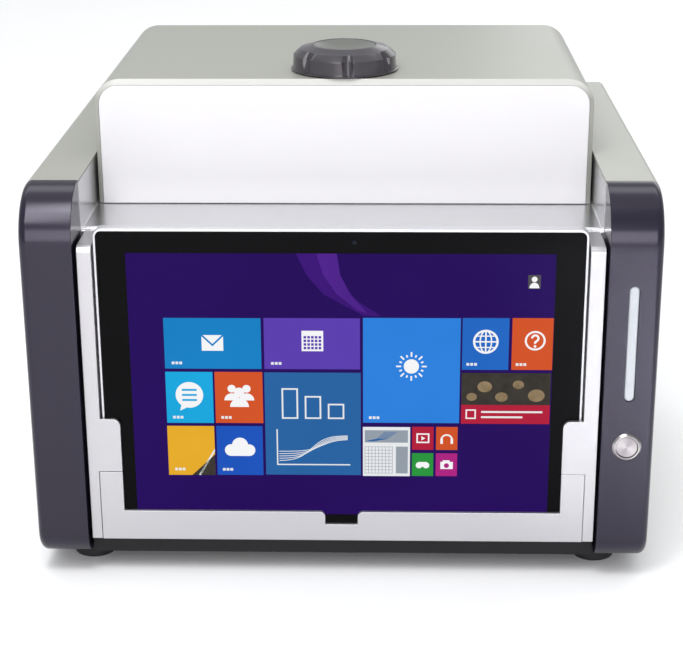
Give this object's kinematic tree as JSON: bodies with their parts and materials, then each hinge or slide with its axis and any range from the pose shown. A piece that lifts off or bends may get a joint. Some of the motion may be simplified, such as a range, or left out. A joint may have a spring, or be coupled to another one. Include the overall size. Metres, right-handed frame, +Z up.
{
  "type": "thermal cycler",
  "caption": "Bench-top thermal cycler with a docked tablet in a silver cradle, dark front pillars, a hinged heated lid with a lobed lock knob, and a sample block beneath.",
  "frame": {"origin": "on the bench, below the middle of the case", "axes": "+Z up, the screen faces -Y, +X to the right of someone facing the screen"},
  "size_m": [0.378, 0.3256, 0.3111],
  "materials": {
    "foot_rubber": "matte",
    "screw_steel": "satin",
    "tray_paint": "fine texture",
    "shell_paint": "satin light grey",
    "pillar_plastic": "satin dark violet grey",
    "pan_silver": "silver satin",
    "bulkhead_zinc": "zinc plated",
    "cradle_silver": "light silver satin",
    "black_oxide": "black oxide",
    "surround_plastic": "matte",
    "block_aluminium": "machined",
    "ceramic_white": "ceramic",
    "sink_aluminium": "extruded",
    "bracket_zinc": "zinc plated",
    "fan_plastic": "matte",
    "guard_wire": "bright wire",
    "inlet_plastic": "matte",
    "pin_metal": "plated",
    "board_green": "solder mask",
    "psu_metal": "plain",
    "brass_post": "plain",
    "lens_white": "diffusing",
    "stainless": "turned",
    "cap_stainless": "spun brushed",
    "lid_paint": "satin light grey",
    "lid_white": "satin white",
    "liner_plastic": "matte",
    "bush_bronze": "sintered bronze",
    "plate_aluminium": "anodised",
    "insulator_board": "laminate",
    "spring_steel": "bright",
    "knob_plastic": "semi gloss dark",
    "knob_disc_grey": "satin grey",
    "cam_brass": "plain",
    "tablet_silver": "fine blasted",
    "tablet_black": "black glass"
  },
  "bodies": {
    "case": {"rubber_feet": "foot_rubber", "foot_screws": "screw_steel", "base_tray": "tray_paint", "left_shell": "shell_paint", "right_shell": "shell_paint", "rear_panel": "shell_paint", "rear_screws": "screw_steel", "left_pillar": "pillar_plastic", "right_pillar": "pillar_plastic", "front_bulkhead": "bulkhead_zinc", "recess_pan": "pan_silver", "cradle_frame": "cradle_silver", "cradle_bar": "cradle_silver", "cradle_screws": "black_oxide", "sample_surround": "surround_plastic", "sample_block": "block_aluminium", "peltier_modules": "ceramic_white", "heatsink": "sink_aluminium", "heatsink_brackets": "bracket_zinc", "fan_frames": "fan_plastic", "fan_guards": "guard_wire", "power_inlet": "inlet_plastic", "inlet_pins": "pin_metal", "switch_housing": "inlet_plastic", "data_ports": "stainless", "power_supply": "psu_metal", "control_board": "board_green", "board_standoffs": "brass_post", "light_bar_lens": "lens_white", "light_bar_board": "ceramic_white", "button_bezel": "stainless", "button_nut": "stainless", "hinge_bases": "bracket_zinc", "hinge_pins": "screw_steel", "bolt_keepers": "bracket_zinc"},
    "left_fan": {"left_fan_rotor": "fan_plastic"},
    "right_fan": {"right_fan_rotor": "fan_plastic"},
    "rocker": {"power_rocker": "inlet_plastic"},
    "button": {"button_cap": "cap_stainless"},
    "lid": {"lid_cover": "lid_paint", "lid_front_panel": "lid_white", "lid_liner": "liner_plastic", "hinge_arms": "bracket_zinc", "spindle_bush": "bush_bronze", "latch_plate": "bracket_zinc", "bolt_guides": "bracket_zinc", "lid_bumpers": "foot_rubber", "plate_bridge": "bracket_zinc", "plate_posts": "screw_steel", "plate_springs": "spring_steel"},
    "plate": {"heated_plate": "plate_aluminium", "plate_insulator": "insulator_board"},
    "knob": {"knob_body": "knob_plastic", "knob_disc": "knob_disc_grey", "knob_spindle": "screw_steel", "scroll_cam": "cam_brass"},
    "left_bolt": {"left_bolt": "bracket_zinc"},
    "right_bolt": {"right_bolt": "bracket_zinc"},
    "tablet": {"tablet_case": "tablet_silver", "tablet_glass": "tablet_black"}
  },
  "joints": [
    {"name": "lid_hinge", "type": "hinge", "parent": "case", "child": "lid", "pos_m": [0, 0.139, 0.227], "axis": [-1, 0, 0], "range_deg": [0, 82]},
    {"name": "plate_float", "type": "slide", "parent": "lid", "child": "plate", "axis": [0, 0, 1], "range_m": [0, 0.003], "stiffness_N_per_m": 6000, "springref_m": -0.001, "deforming": ["plate_springs"]},
    {"name": "knob_turn", "type": "hinge", "parent": "lid", "child": "knob", "pos_m": [0, -0.0335, 0.296], "axis": [0, 0, -1], "range_deg": [0, 120]},
    {"name": "left_bolt_slide", "type": "slide", "parent": "lid", "child": "left_bolt", "axis": [-1, 0, 0], "range_m": [0, 0.0081]},
    {"name": "right_bolt_slide", "type": "slide", "parent": "lid", "child": "right_bolt", "axis": [1, 0, 0], "range_m": [0, 0.0081]},
    {"name": "tablet_lift", "type": "slide", "parent": "case", "child": "tablet", "axis": [0, 0, 1], "range_m": [0, 0.2]},
    {"name": "power_button", "type": "slide", "parent": "case", "child": "button", "axis": [0, 1, 0], "range_m": [0, 0.002], "stiffness_N_per_m": 800, "springref_m": -0.0005},
    {"name": "mains_rocker", "type": "hinge", "parent": "case", "child": "rocker", "pos_m": [0.1, 0.1545, 0.06], "axis": [1, 0, 0], "range_deg": [-16, 0]},
    {"name": "left_fan_spin", "type": "hinge", "parent": "case", "child": "left_fan", "pos_m": [-0.075, 0.145, 0.11], "axis": [0, 1, 0], "continuous": true},
    {"name": "right_fan_spin", "type": "hinge", "parent": "case", "child": "right_fan", "pos_m": [0.015, 0.145, 0.11], "axis": [0, 1, 0], "continuous": true}
  ],
  "couplings": [
    {"joint": "left_bolt_slide", "follows": "knob_turn", "m_per_rad": 0.0038197},
    {"joint": "right_bolt_slide", "follows": "knob_turn", "m_per_rad": 0.0038197}
  ]
}
